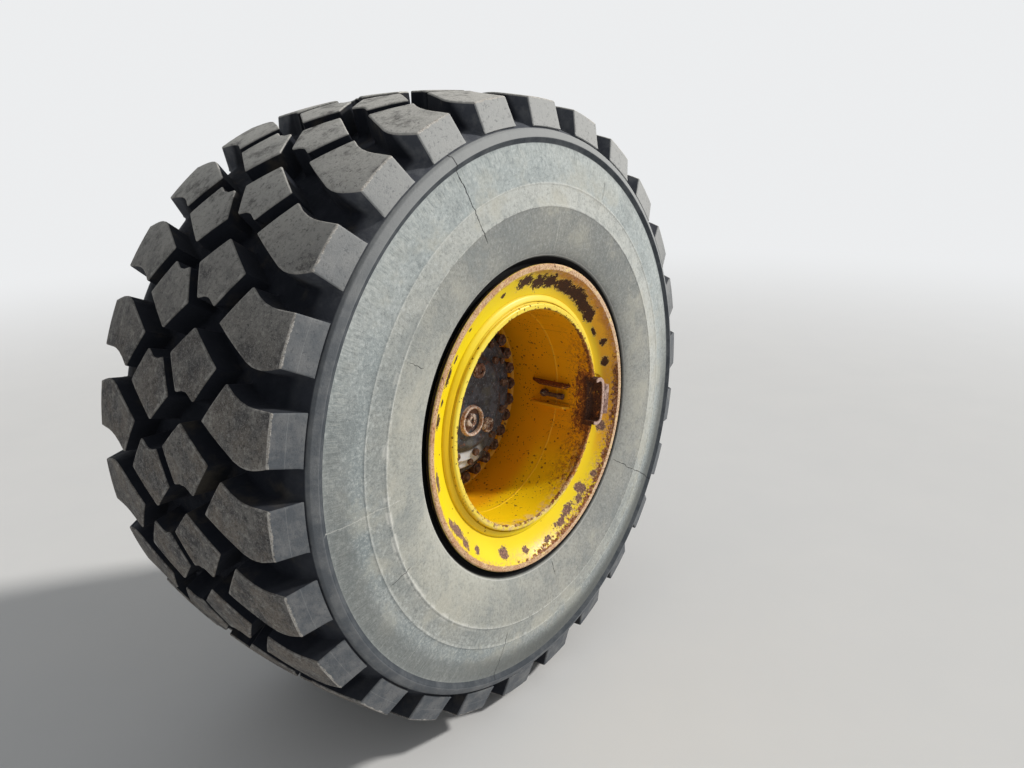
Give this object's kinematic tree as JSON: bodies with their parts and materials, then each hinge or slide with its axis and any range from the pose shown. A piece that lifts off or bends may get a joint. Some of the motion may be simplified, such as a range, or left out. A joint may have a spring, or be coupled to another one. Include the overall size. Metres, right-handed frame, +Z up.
{
  "type": "articulated dump truck wheel with hub",
  "caption": "Rear wheel of an articulated dump truck: block-tread tyre on a five-piece rim and planetary hub, turning on an axle end with a disc brake.",
  "frame": {"origin": "centre of the axle end's bolted flange, on its outer face", "axes": "+Y along the axle towards the vehicle, so the wheel's outer face looks along -Y; +Z up; +X to the right as seen looking along +Y"},
  "size_m": [1.6058, 0.78, 1.606],
  "materials": {
    "tyre_rubber": "matt, dusty grey on the sidewalls",
    "rim_paint": "glossy yellow paint with rust specks",
    "flange_paint": "glossy yellow paint, chipped and rusty at the lip",
    "rusty_steel": "rusty steel",
    "hub_casting": "dark blue-grey painted casting, oily and dusty",
    "axle_casting": "dark painted casting",
    "brake_steel": "ground steel with light rust",
    "brake_lining": "matt friction lining"
  },
  "bodies": {
    "axle_end": {"spindle": "axle_casting", "brake_carrier": "axle_casting", "calipers": "axle_casting", "brake_pads": "brake_lining"},
    "wheel": {"tyre": "tyre_rubber", "rim_base": "rim_paint", "front_flange": "flange_paint", "back_flange": "flange_paint", "bead_seat_band": "rim_paint", "lock_ring": "rim_paint", "driver_key": "rusty_steel", "mounting_disc": "rim_paint", "valve": "rusty_steel", "valve_guard": "rim_paint", "hub": "hub_casting", "planetary_housing": "hub_casting", "hub_cover": "hub_casting", "cover_bolts": "rusty_steel", "housing_bolts": "rusty_steel", "drain_plug": "rusty_steel", "level_plugs": "rusty_steel", "wheel_studs": "rusty_steel", "wheel_nuts": "rusty_steel", "brake_disc": "brake_steel"}
  },
  "joints": [
    {"name": "wheel_spin", "type": "hinge", "parent": "axle_end", "child": "wheel", "pos_m": [0, -0.407, 0], "axis": [0, 1, 0], "continuous": true}
  ]
}
